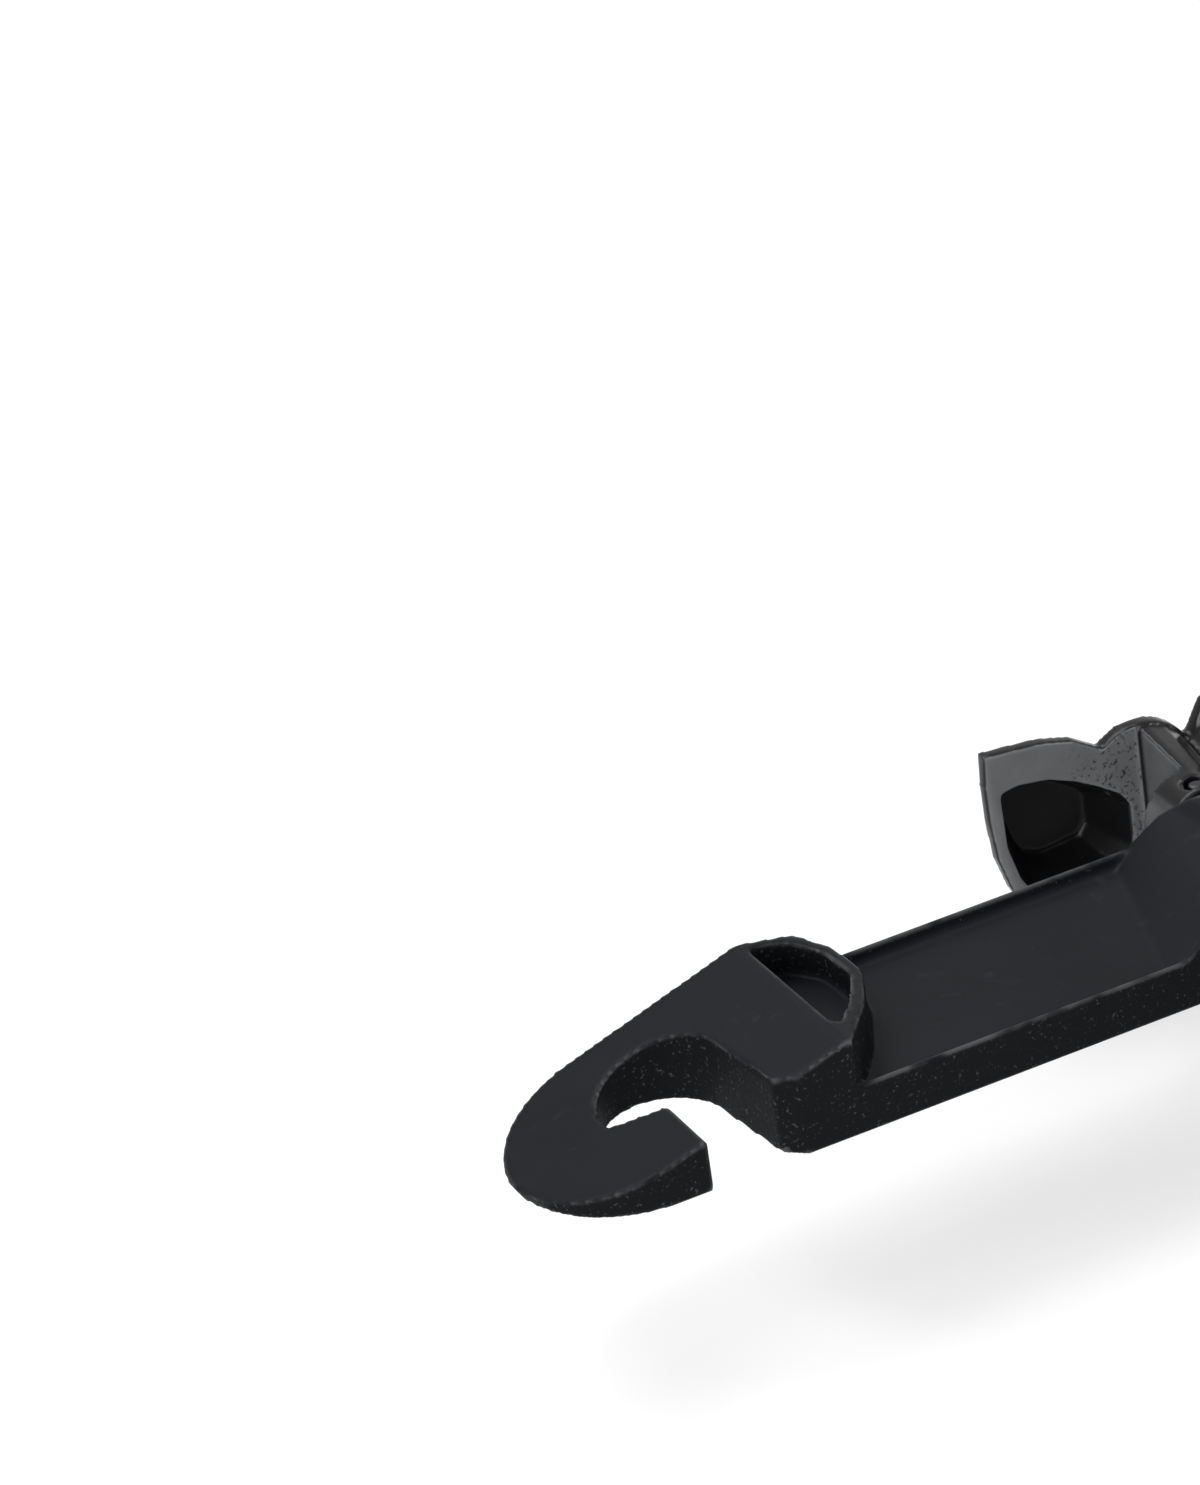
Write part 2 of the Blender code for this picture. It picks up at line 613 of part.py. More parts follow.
def feed_wheel():
    """The serrated wheel that grips the underside of a can's rim."""
    points = []
    for step in range(2 * FEED_TEETH):
        radius = FEED_RADIUS if step % 2 == 0 else FEED_RADIUS - 0.75
        angle = math.pi * step / FEED_TEETH
        points.append((KEY_X + radius * math.cos(angle), KEY_Z + radius * math.sin(angle)))
    wheel = prism("feed_wheel", points, FEED_Y)
    cut(wheel, cylinder("feed_bore", KEY_X, KEY_Z, (-18, -9), SHAFT_RADIUS + GAP))
    return finish(wheel, "key", TOOL_STEEL)


def ring(name, x, z, axis, span, inner, outer, look, sides=ROUND):
    near, far = span
    profile = [(outer, far), (outer, near), (inner, near), (inner, far)]
    return finish(turned(name, x, z, profile, sides), axis, look)


def cutter_wheel():
    near, far = CUTTER_Y
    profile = [(CUTTER_RADIUS, near + 0.62), (6.6, near), (AXLE_RADIUS + GAP, near),
               (AXLE_RADIUS + GAP, far), (6.6, far), (CUTTER_RADIUS, near + 0.74)]
    return finish(turned("cutter_wheel", CUTTER_X, CUTTER_Z, profile, 48), "cutter", TOOL_STEEL)


def nut(name, x, z, axis, span, bore):
    body = cylinder(name, x, z, span, 3.5, 6)
    bevel(body, 0.3, 1, 50)
    cut(body, cylinder(name + "_bore", x, z, (span[0] - 1, span[1] + 1), bore))
    return finish(body, axis, STEEL)


def plate(name, outline, axis, holes, screws):
    """A thin steel plate with clearance holes for a shaft and its screws."""
    sheet = prism(name, round_corners(outline), PLATE_Y)
    for x, z, radius in holes:
        cut(sheet, cylinder(name + "_hole", x, z, (-10, -7), radius))
    for x, z in screws:
        cut(sheet, cylinder(name + "_screw_hole", x, z, (-10, -7), SCREW_HEAD_RADIUS + GAP, 20))
    return finish(sheet, axis, STEEL)


def screws(name, axis, places):
    """Countersunk screws, flush with the plate that they hold."""
    near = PLATE_Y[0]
    profile = [(0, SCREW_END_Y), (SCREW_RADIUS, SCREW_END_Y), (SCREW_RADIUS, near + 0.75),
               (SCREW_HEAD_RADIUS, near + 0.05), (0, near + 0.05)]
    for place_name, (x, z) in zip(("front", "back"), places):
        finish(turned(name + "_" + place_name, x, z, profile, 16), axis, STEEL)


def drive_group():
    ring("thrust_washer", KEY_X, KEY_Z, "key", (8.3, 9.0), SHAFT_RADIUS + GAP, 3.1, STEEL)
    profile = [(0, SHAFT_END_Y), (SHAFT_RADIUS, SHAFT_END_Y), (SHAFT_RADIUS, -16.6), (0, -16.6)]
    shaft = turned("drive_shaft", KEY_X, KEY_Z, profile)
    cut(shaft, upright("shaft_pin_hole", KEY_PIN_RADIUS + GAP, SHAFT_RADIUS + 1, 16))
    finish(shaft, "key", STEEL)
    gear("drive_gear", KEY_X, KEY_Z, "key", MESH_ANGLE, SHAFT_RADIUS + GAP)
    feed_wheel()
    nut("feed_nut", KEY_X, KEY_Z, "key", FEED_NUT_Y, SHAFT_RADIUS + GAP)
    turning_key()
    key_pin()


def cutter_group():
    half_pitch = math.pi / GEAR_TEETH
    bore = AXLE_RADIUS + GAP
    gear("cutter_gear", CUTTER_X, CUTTER_Z, "cutter", MESH_ANGLE + math.pi + half_pitch, bore)
    ring("cutter_spacer", CUTTER_X, CUTTER_Z, "cutter", FEED_Y, bore, 4.0, STEEL)
    cutter_wheel()


def body_group():
    main_body()
    grip_pad("upper_grip", "datum", UPPER_TOP + GAP, UPPER_TOP + GAP + PAD_THICKNESS, 1.0, 1.4)
    end_cap("hanging_cap", "datum", UPPER_BOTTOM, UPPER_TOP + GAP + PAD_THICKNESS, 13.2)
    plate("head_plate", [(19.6, -5.4, 2), (20.4, 1.9, 2), (34.4, 1.9, 1.5), (34.4, -8.0, 1.5),
                         (25.0, -8.0, 3)], "datum", [(KEY_X, KEY_Z, SHAFT_RADIUS + GAP)],
          HEAD_SCREWS)
    screws("head_screw", "datum", HEAD_SCREWS)
    ring("near_bush", KEY_X, KEY_Z, "datum", (-8.0, -2.0), BUSH_INNER, BUSH_OUTER, BRONZE)
    ring("far_bush", KEY_X, KEY_Z, "datum", (2.0, 7.9), BUSH_INNER, BUSH_OUTER, BRONZE)
    pin = [(0, 10.0), (PIVOT_RADIUS, 10.0), (PIVOT_RADIUS, -8.3), (4.4, -8.3), (4.4, -9.1),
           (3.2, -9.9), (0, -9.9)]
    finish(turned("pivot_pin", PIVOT_X, PIVOT_Z, pin), "datum", STEEL)
    ring("pivot_washer", PIVOT_X, PIVOT_Z, "datum", (8.3, 8.8), PIVOT_RADIUS + GAP, 4.8, STEEL)
    ring("pivot_clip", PIVOT_X, PIVOT_Z, "datum", (9.1, 9.7), PIVOT_RADIUS + GAP, 3.9, STEEL)


def lever_group():
    lower_handle()
    grip_pad("lower_grip", "pivot", REST_Z, LOWER_BOTTOM - GAP, 0.0, 0.0)
    end_cap("lower_cap", "pivot", REST_Z, LOWER_TOP)
    plate("jaw_plate", [(24.6, 8.0, 2.5), (24.4, 16.4, 4), (33.4, 16.9, 4), (38.8, 13.6, 2),
                        (38.8, 7.0, 2), (35.8, 5.2, 1), (31.2, 6.9, 3)], "pivot",
          [(CUTTER_X, CUTTER_Z, AXLE_RADIUS + GAP)], JAW_SCREWS)
    screws("jaw_screw", "pivot", JAW_SCREWS)
    axle = [(0, 1.2), (3.4, 1.2), (3.4, 0.2), (AXLE_RADIUS, 0.2), (AXLE_RADIUS, -17.8), (0, -17.8)]
    finish(turned("cutter_axle", CUTTER_X, CUTTER_Z, axle), "pivot", STEEL)
    nut("cutter_nut", CUTTER_X, CUTTER_Z, "pivot", CUTTER_NUT_Y, AXLE_RADIUS + GAP)


def main():
    global parts, cutters
    clear_scene()
    parts = new_collection("manual_can_opener")
    cutters = new_collection("cutters")
    add_axis("datum", [-value for value in ORIGIN], None)
    datum = axes["datum"][0]
    add_axis("key", (KEY_X, 0, KEY_Z), datum)
    add_axis("pivot", (PIVOT_X, 0, PIVOT_Z), datum)
    add_axis("cutter", (CUTTER_X, 0, CUTTER_Z), datum)
    body_group()
    drive_group()
    lever_group()
    cutter_group()


main()
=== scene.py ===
"""Looks of a manual can opener: moulded levers and key, soft grips, steel wheels and hardware.

Sizes are in metres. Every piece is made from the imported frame, so it lies where the frame says.
"""

import json
import math

import bmesh
import bpy
from mathutils import Matrix, Vector

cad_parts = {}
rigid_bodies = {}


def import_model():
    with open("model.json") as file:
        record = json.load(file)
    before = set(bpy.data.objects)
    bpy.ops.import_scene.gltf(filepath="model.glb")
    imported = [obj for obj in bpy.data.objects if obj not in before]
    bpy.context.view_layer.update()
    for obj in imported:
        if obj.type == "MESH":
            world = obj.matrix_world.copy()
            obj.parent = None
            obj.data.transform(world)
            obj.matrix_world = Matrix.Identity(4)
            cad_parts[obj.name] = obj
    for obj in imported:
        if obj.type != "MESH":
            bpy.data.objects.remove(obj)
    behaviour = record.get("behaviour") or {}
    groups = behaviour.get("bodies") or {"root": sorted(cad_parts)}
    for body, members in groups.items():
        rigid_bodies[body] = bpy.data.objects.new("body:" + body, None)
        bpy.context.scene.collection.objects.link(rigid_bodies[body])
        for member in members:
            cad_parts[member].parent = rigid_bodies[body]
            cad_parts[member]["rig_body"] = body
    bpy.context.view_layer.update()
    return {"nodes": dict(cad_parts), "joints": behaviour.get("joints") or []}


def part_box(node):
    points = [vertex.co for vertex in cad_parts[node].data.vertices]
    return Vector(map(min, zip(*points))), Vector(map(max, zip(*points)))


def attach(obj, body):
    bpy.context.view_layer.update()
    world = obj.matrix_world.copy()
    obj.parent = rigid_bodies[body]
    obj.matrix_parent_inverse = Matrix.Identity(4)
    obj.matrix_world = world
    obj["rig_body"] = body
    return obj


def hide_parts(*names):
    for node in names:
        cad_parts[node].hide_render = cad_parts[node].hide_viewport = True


bl_info = {
    "name": "Can Opener Looks",
    "version": (1, 0, 0),
    "blender": (4, 5, 0),
    "location": "3D View > Sidebar > Can Opener",
    "description": "Builds the finished surfaces of a manual can opener around its frame",
    "category": "Object",
}

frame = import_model()

MM = 0.001
JOINTS = {joint["name"]: joint for joint in frame["joints"]}
KEY_AXIS = Vector(JOINTS["key_turn"]["pos_m"])
PIVOT_AXIS = Vector(JOINTS["handle_open"]["pos_m"])
CUTTER_AXIS = Vector(JOINTS["cutter_spin"]["pos_m"])
MIDDLE_Y = KEY_AXIS.y
BAR_HALF = 8 * MM
NOSE_TIP_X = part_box("main_body")[0][0]
DATUM = Vector((NOSE_TIP_X + 30.5 * MM, MIDDLE_Y, KEY_AXIS.z + 1.8 * MM))
KEY_FACE_Y = MIDDLE_Y + 18.4 * MM

CUTTER_CELL = 0.1 * MM
PAD_CELL = 0.3 * MM
GROOVE_RADIUS = 0.7 * MM
GROOVE_LENGTH = 30 * MM
GROOVED_SHARE = 0.74        # of a pad's length
PAD_CROWN = 1.4 * MM        # how much higher the upper pad is in its middle than at its ends
FEED_GROUND_FROM = 5.2 * MM
CUTTER_GROUND_FROM = 6.7 * MM

SATIN_SPECULAR = 0.035
# painted shade: the darker colour of the moulded walls
PAINTED_WALL_SHADE = (0.0045, 0.0048, 0.0055)
# pale colour of painted glints on the walls and of dust on the tops
PALE_GLINT_AND_DUST = (0.16, 0.165, 0.17)
SCUFF_GREY = (0.07, 0.072, 0.078)
# pale colour of wear and of painted edge highlights
PALE_WEAR_AND_HIGHLIGHT = (0.19, 0.195, 0.20)
# grey of the painted highlight on the key's near face and neck flat
PAINTED_HIGHLIGHT_GREY = (0.150, 0.154, 0.160)
BLACKED_STEEL = (0.030, 0.031, 0.034)


# ---------------------------------------------------------------- settings

class OpenerFinish(bpy.types.PropertyGroup):
    """Colours and surface values of the opener's materials."""
    moulding: bpy.props.FloatVectorProperty(
        name="Moulding", description="Colour of the black moulded levers", subtype="COLOR",
        size=3, min=0.0, max=1.0, default=(0.0070, 0.0080, 0.0098))
    key: bpy.props.FloatVectorProperty(
        name="Key", description="Colour of the glossy turning key", subtype="COLOR",
        size=3, min=0.0, max=1.0, default=(0.012, 0.012, 0.013))
    grip: bpy.props.FloatVectorProperty(
        name="Grip", description="Colour of the soft grip pads", subtype="COLOR",
        size=3, min=0.0, max=1.0, default=(0.020, 0.021, 0.023))
    steel: bpy.props.FloatVectorProperty(
        name="Steel", description="Colour of the plated steel hardware", subtype="COLOR",
        size=3, min=0.0, max=1.0, default=(0.44, 0.45, 0.46))
    spark_depth: bpy.props.FloatProperty(
        name="Spark Texture", description="Strength of the eroded texture on moulded sides",
        min=0.0, max=1.0, default=0.55)


class OpenerDetail(bpy.types.PropertyGroup):
    """Sizes of the fine geometry."""
    moulding_cell: bpy.props.FloatProperty(
        name="Moulding Cell", description="Mesh cell of the moulded levers",
        unit="LENGTH", min=0.0001, max=0.002, default=0.24 * MM)
    key_cell: bpy.props.FloatProperty(
        name="Key Cell", description="Mesh cell of the turning key",
        unit="LENGTH", min=0.0001, max=0.002, default=0.2 * MM)
    small_cell: bpy.props.FloatProperty(
        name="Hardware Cell", description="Mesh cell of screws, nuts, washers and wheels",
        unit="LENGTH", min=0.00005, max=0.001, default=0.14 * MM)
    rib_pitch: bpy.props.FloatProperty(
        name="Rib Pitch", description="Distance between the grooves across a grip pad",
        unit="LENGTH", min=0.001, max=0.02, default=3.6 * MM)


class OpenerStage(bpy.types.PropertyGroup):
    """Where the camera stands and how bright the studio is."""
    azimuth: bpy.props.FloatProperty(
        name="Azimuth", description="Camera's turn about the vertical",
        subtype="ANGLE", default=math.radians(-22.3))
    elevation: bpy.props.FloatProperty(
        name="Elevation", description="Camera's height above the horizon",
        subtype="ANGLE", default=math.radians(28.1))
    roll: bpy.props.FloatProperty(
        name="Roll", description="Camera's tilt about its own axis",
        subtype="ANGLE", default=math.radians(8.6))
    distance: bpy.props.FloatProperty(
        name="Distance", description="From the camera to the shank",
        unit="LENGTH", min=0.05, max=5.0, default=0.46)
    lens: bpy.props.FloatProperty(
        name="Lens", description="Focal length in millimetres", min=20.0, max=400.0, default=164.8)
    shift: bpy.props.FloatProperty(
        name="Shift", description="How far the camera stands to the right of the shank",
        unit="LENGTH", default=-17.59 * MM)
    rise: bpy.props.FloatProperty(
        name="Rise", description="How far the camera stands above its line to the shank",
        unit="LENGTH", default=13.76 * MM)
    light: bpy.props.FloatProperty(
        name="Light", description="Brightness of the softboxes", min=0.0, max=10.0, default=1.0)


# ---------------------------------------------------------------- shader expressions

class Value:
    """A shader socket that can be used in a Python expression."""

    def __init__(self, finish, socket):
        self.finish = finish
        self.socket = socket

    def combine(self, operation, first, second):
        return self.finish.node("ShaderNodeMath", {"operation": operation}, {0: first, 1: second})

    def __add__(self, other):
        return self.combine("ADD", self, other)

    __radd__ = __add__

    def __sub__(self, other):
        return self.combine("SUBTRACT", self, other)

    def __rsub__(self, other):
        return self.combine("SUBTRACT", other, self)

    def __mul__(self, other):
        return self.combine("MULTIPLY", self, other)

    __rmul__ = __mul__

    def __truediv__(self, other):
        return self.combine("DIVIDE", self, other)

    def __pow__(self, other):
        return self.combine("POWER", self, other)

    def __abs__(self):
        return self.finish.node("ShaderNodeMath", {"operation": "ABSOLUTE"}, {0: self})


class Finish:
    """One material: its nodes, and the sockets of its Principled shader."""

    def __init__(self, name, colour, roughness, metallic=0.0, **uniform):
        self.material = bpy.data.materials.new(name)
        self.material.use_nodes = True
        self.tree = self.material.node_tree
        self.shader = self.tree.nodes["Principled BSDF"]
        self.material.diffuse_color = (*colour, 1.0)
        self.feed("Base Color", (*colour, 1.0))
        self.feed("Roughness", roughness)
        self.feed("Metallic", metallic)
        for socket, value in uniform.items():
            self.feed(socket.replace("_", " "), value)

    def feed(self, socket, value):
        """Set or link one socket of the shader."""
        if isinstance(value, Value):
            self.tree.links.new(value.socket, self.shader.inputs[socket])
        else:
            self.shader.inputs[socket].default_value = value

    def node(self, kind, settings=None, sockets=None, output=0):
        """Add a node with its settings and its sockets' values or links."""
        made = self.tree.nodes.new(kind)
        for setting, value in (settings or {}).items():
            if setting == "stops":
                ramp = made.color_ramp
                while len(ramp.elements) < len(value):
                    ramp.elements.new(0.5)
                for element, (place, colour) in zip(ramp.elements, value):
                    element.position = place
                    element.color = (*colour, 1.0)
            else:
                setattr(made, setting, value)
        for socket, value in (sockets or {}).items():
            if isinstance(value, Value):
                self.tree.links.new(value.socket, made.inputs[socket])
            else:
                made.inputs[socket].default_value = value
        return Value(self, made.outputs[output])

    def place(self):
        """Position on the piece, in metres."""
        return self.node("ShaderNodeTexCoord", output="Object")

    def axes(self, vector):
        split = self.tree.nodes.new("ShaderNodeSeparateXYZ")
        self.tree.links.new(vector.socket, split.inputs[0])
        return [Value(self, output) for output in split.outputs]

    def stretched(self, vector, scale):
        return self.node("ShaderNodeVectorMath", {"operation": "MULTIPLY"}, {0: vector, 1: scale})

    def noise(self, size, detail=3.0, rough=0.55, vector=None):
        """Noise with features of about the given size in metres, from 0 to 1."""
        where = self.place() if vector is None else vector
        return self.node("ShaderNodeTexNoise", None, {
            "Vector": where, "Scale": 1.0 / size, "Detail": detail, "Roughness": rough})

    def cells(self, size):
        """Distance to the nearest of many scattered points, about size apart."""
        return self.node("ShaderNodeTexVoronoi", {"feature": "F1"}, {
            "Vector": self.place(), "Scale": 1.0 / size}, "Distance")

    def step(self, value, low, high, to_low=0.0, to_high=1.0):
        """Smooth step from low to high."""
        return self.node("ShaderNodeMapRange", {"interpolation_type": "SMOOTHSTEP"}, {
            "Value": value, "From Min": low, "From Max": high,
            "To Min": to_low, "To Max": to_high})

    def blend(self, mask, first, second):
        """Colour that goes from first to second with the mask."""
        return self.node("ShaderNodeMix", {"data_type": "RGBA"}, {
            0: mask, 6: first, 7: second}, 2)

    def edges(self, low=0.515, high=0.56):
        """1 on convex edges, from the mesh's curvature."""
        return self.step(self.node("ShaderNodeNewGeometry", output="Pointiness"), low, high)

    def facing(self, axis):
        """How far the surface faces along the piece's X, Y or Z (0, 1 or 2), either way."""
        normal = self.node("ShaderNodeTexCoord", output="Normal")
        return abs(self.axes(normal)[axis])

    def bump(self, height, depth, strength=1.0):
        """Raise the surface by height times depth in metres."""
        self.feed("Normal", self.node("ShaderNodeBump", None, {
            "Height": height, "Distance": depth, "Strength": strength}, "Normal"))

    def from_axis(self, axis):
        """Distance from a line along Y, and the angle round it."""
        x, _, z = self.axes(self.place())
        dx, dz = x - axis.x, z - axis.z
        radius = (dx * dx + dz * dz) ** 0.5
        angle = self.node("ShaderNodeMath", {"operation": "ARCTAN2"}, {0: dz, 1: dx})
        return radius, angle


def rgba(colour, factor=1.0):
    """A colour with its alpha, made lighter or darker by a factor."""
    return (*[min(1.0, c * factor) for c in colour], 1.0)


# ---------------------------------------------------------------- materials

def moulded_black(name, colour, spark):
    """Black plastic: satin on top; spark-eroded walls with painted shade and painted glints; pale edges,
    partly wear and partly painted highlight.
    """
    finish = Finish(name, colour, 0.42, Specular_IOR_Level=SATIN_SPECULAR)
    wall = 1.0 - finish.step(finish.facing(2), 0.35, 0.8)
    grain = finish.noise(0.26 * MM, 2.0, 0.6)
    clumps = finish.noise(0.9 * MM, 2.0)
    cloud = finish.noise(7 * MM, 3.0)
    # Pale specks on the eroded walls are painted glints of the grain.
    grain_glint = finish.step(grain + clumps * 0.35, 0.78, 0.92) * wall
    dust = finish.step(finish.noise(0.34 * MM, 3.0, 0.7), 0.68, 0.80) * (1.0 - wall)
    scuff = finish.step(finish.noise(2.2 * MM, 5.0, 0.7), 0.58, 0.78) * (1.0 - wall)
    # Pale convex edges in patches: partly wear, partly painted highlight.
    edge_band = finish.edges(0.52, 0.57) * finish.step(finish.noise(3.0 * MM, 2.0), 0.30, 0.55)
    base = finish.blend(cloud * 0.6, rgba(colour, 0.80), rgba(colour, 1.40))
    # Walls painted darker than the tops: painted shade.
    base = finish.blend(wall * 0.6, base, rgba(PAINTED_WALL_SHADE))
    base = finish.blend(grain_glint * 0.24, base, rgba(PALE_GLINT_AND_DUST))
    base = finish.blend(dust * 0.10, base, rgba(PALE_GLINT_AND_DUST))
    base = finish.blend(scuff * 0.12, base, rgba(SCUFF_GREY))
    base = finish.blend(edge_band * 0.30, base, rgba(PALE_WEAR_AND_HIGHLIGHT))
    finish.feed("Base Color", base)
    finish.feed("Roughness", 0.34 + wall * 0.24 + scuff * 0.10 + (cloud - 0.5) * 0.12)
    relief = grain * wall * spark + finish.noise(0.5 * MM, 2.0) * 0.10 + cloud * 0.4
    finish.bump(relief, 0.10 * MM, 0.8)
    return finish.material


def glossy_black(name, colour):
    """Polished black plastic: near face and neck flat painted grey as painted highlight, pits round the
    hub, a painted shade line at the hub's step, dark, glossy scoops.
    """
    finish = Finish(name, colour, 0.2, Specular_IOR_Level=0.12, Coat_Roughness=0.09)
    x, depth, _ = finish.axes(finish.place())
    face = 1.0 - finish.step(depth, KEY_FACE_Y + 0.30 * MM, KEY_FACE_Y + 0.80 * MM)
    front = finish.step(depth, KEY_FACE_Y - 0.9 * MM, KEY_FACE_Y - 0.3 * MM)
    radius, _ = finish.from_axis(KEY_AXIS)
    land = face * front * finish.step(finish.facing(1), 0.55, 0.85)
    neck = finish.step(finish.facing(0), 0.6, 0.9) * (1.0 - front) * (
        1.0 - finish.step(radius, 4.3 * MM, 4.9 * MM))
    # Dark line where the neck's flat steps up from the near face: painted shade.
    step_shade_line = (1.0 - finish.step(abs(x - KEY_AXIS.x), 0.05 * MM, 0.16 * MM)) * land
    near_hub = 1.0 - finish.step(radius, 3.4 * MM, 8.0 * MM)
    pits = finish.step(finish.noise(0.30 * MM, 2.0, 0.6), 0.56, 0.66)
    haze = finish.noise(3 * MM, 4.0, 0.65)
    hair = finish.noise(0.5 * MM, 2.0, 0.5, finish.stretched(finish.place(), (1.0, 1.0, 9.0)))
    mark = finish.step(hair, 0.66, 0.74)
    edge_band = finish.edges(0.52, 0.58)
    base = finish.blend(haze * 0.5, rgba(colour, 0.45), rgba(colour, 0.90))
    # The key's near face and the neck's flat are painted grey: painted highlight of the softboxes.
    base = finish.blend(land * (0.75 + haze * 0.4), base, rgba(PAINTED_HIGHLIGHT_GREY))
    base = finish.blend(neck * (0.25 + haze * 0.5), base, rgba(PAINTED_HIGHLIGHT_GREY))
    base = finish.blend(pits * near_hub * land * 0.75, base, rgba(colour, 0.4))
    base = finish.blend(mark * land * 0.20, base, rgba(PALE_WEAR_AND_HIGHLIGHT))
    base = finish.blend(step_shade_line * 0.8, base, rgba(colour, 0.3))
    # Convex edges away from the near face lightened: painted highlight.
    base = finish.blend(edge_band * (1.0 - land) * 0.18, base, rgba(PALE_WEAR_AND_HIGHLIGHT))
    finish.feed("Base Color", base)
    finish.feed("Roughness", 0.16 + haze * 0.14 + land * 0.12 + pits * near_hub * land * 0.25)
    finish.feed("Coat Weight", 0.03 + land * 0.25 + neck * 0.35)
    finish.bump(haze * 0.6 - pits * near_hub * land * 0.5, 0.08 * MM, 0.6)
    return finish.material


def soft_grip(name, colour):
    """Matt soft plastic with a fine leather-like grain and lighter edges, partly polish wear and partly
    painted sheen.
    """
    finish = Finish(name, colour, 0.72, Specular_IOR_Level=0.35, Sheen_Weight=0.12,
                    Sheen_Roughness=0.5)
    grain = finish.cells(0.45 * MM)
    cloud = finish.noise(5 * MM, 4.0)
    # Lighter edges: partly polish wear, partly painted sheen.
    polished_edge_sheen = finish.edges(0.51, 0.54) * finish.step(cloud, 0.4, 0.65)
    base = finish.blend(cloud * 0.7, rgba(colour, 0.8), rgba(colour, 1.5))
    base = finish.blend(polished_edge_sheen * 0.3, base, rgba(colour, 2.6))
    finish.feed("Base Color", base)
    finish.feed("Roughness", 0.78 - polished_edge_sheen * 0.24 - cloud * 0.10)
    finish.bump(grain + cloud * 0.5, 0.09 * MM, 0.8)
    return finish.material


def turned_steel(name, colour, axis, roughness=0.24):
    """Plated steel with fine turning rings about an axis, darker nicks and pale edges."""
    finish = Finish(name, colour, roughness, 1.0)
    radius, _ = finish.from_axis(axis)
    across = finish.node("ShaderNodeCombineXYZ", None, {0: radius * 3000.0, 1: 0.0, 2: 0.0})
    rings = finish.node("ShaderNodeTexNoise", {"noise_dimensions": "3D"}, {
        "Vector": across, "Scale": 1.6, "Detail": 2.0})
    cloud = finish.noise(2.5 * MM, 4.0, 0.6)
    nicks = finish.step(finish.noise(0.6 * MM, 4.0, 0.7), 0.62, 0.72)
    edge_band = finish.edges(0.51, 0.57)
    base = finish.blend(cloud, rgba(colour, 0.72), rgba(colour, 1.12))
    base = finish.blend(nicks * 0.35, base, rgba(colour, 0.45))
    base = finish.blend(edge_band * 0.5, base, (0.86, 0.87, 0.88, 1.0))
    finish.feed("Base Color", base)
    finish.feed("Roughness", roughness + (cloud - 0.5) * 0.18 + rings * 0.10 + nicks * 0.12)
    finish.bump(rings * 0.6 + cloud * 0.5, 0.02 * MM, 0.6)
    return finish.material


def ground_steel(name, colour, axis, bevel_from):
    """Hardened steel of a wheel: turned in the middle, ground towards its edge."""
    finish = Finish(name, colour, 0.25, 1.0)
    radius, angle = finish.from_axis(axis)
    edge = finish.step(radius, bevel_from, bevel_from + 0.6 * MM)
    spokes = finish.node("ShaderNodeTexNoise", None, {
        "Vector": finish.node("ShaderNodeCombineXYZ", None, {
            0: angle * 40.0, 1: radius * 300.0, 2: 0.0}), "Scale": 2.0, "Detail": 3.0})
    rings = finish.node("ShaderNodeTexNoise", None, {
        "Vector": finish.node("ShaderNodeCombineXYZ", None, {0: radius * 4000.0, 1: 0.0, 2: 0.0}),
        "Scale": 1.0, "Detail": 2.0})
    cloud = finish.noise(3 * MM, 5.0, 0.6)
    stain = finish.step(cloud, 0.56, 0.70) * (1.0 - edge)
    base = finish.blend(stain * 0.55, rgba(colour), rgba((0.30, 0.27, 0.24)))
    base = finish.blend(edge * 0.6, base, (0.80, 0.81, 0.82, 1.0))
    finish.feed("Base Color", base)
    finish.feed("Roughness", 0.20 + stain * 0.18 + spokes * edge * 0.22 + rings * 0.08)
    finish.bump(spokes * edge + rings * (1.0 - edge), 0.02 * MM, 0.7)
    return finish.material


def plate_steel(name, colour):
    """Steel brushed along X, bright as sheet or dark as a blacked pin."""
    finish = Finish(name, colour, 0.3, 1.0)
    brushed = finish.noise(0.12 * MM, 3.0, 0.6,
                           finish.stretched(finish.place(), (0.04, 1.0, 1.0)))
    cloud = finish.noise(4 * MM, 4.0)
    base = finish.blend(cloud, rgba(colour, 0.75), rgba(colour, 1.08))
    base = finish.blend(finish.edges(0.51, 0.57) * 0.5, base, rgba(colour, 1.5))
    finish.feed("Base Color", base)
    finish.feed("Roughness", 0.24 + brushed * 0.2 + cloud * 0.05)
    finish.bump(brushed, 0.012 * MM, 0.7)
    return finish.material


def sintered_bronze(name):
    """Bronze with small dark pores, as a sintered bush has."""
    finish = Finish(name, (0.55, 0.38, 0.18), 0.4, 1.0)
    pores = finish.step(finish.cells(0.25 * MM), 0.15, 0.4)
    cloud = finish.noise(2 * MM, 4.0)
    finish.feed("Base Color", finish.blend(pores * 0.7 + cloud * 0.2, (0.18, 0.11, 0.06, 1.0),
                                           (0.60, 0.42, 0.20, 1.0)))
    finish.feed("Roughness", 0.5 - pores * 0.15 + cloud * 0.1)
    finish.bump(pores, 0.03 * MM, 0.6)
    return finish.material


# ---------------------------------------------------------------- making pieces

def copy_of(node, name):
    """A new mesh with the shape of a frame node, welded into one surface."""
    bm = bmesh.new()
    bm.from_mesh(frame["nodes"][node].data)
    bmesh.ops.remove_doubles(bm, verts=bm.verts, dist=0.002 * MM)
    mesh = bpy.data.meshes.new(name)
    bm.to_mesh(mesh)
    bm.free()
    obj = bpy.data.objects.new(name, mesh)
    bpy.context.scene.collection.objects.link(obj)
    return obj


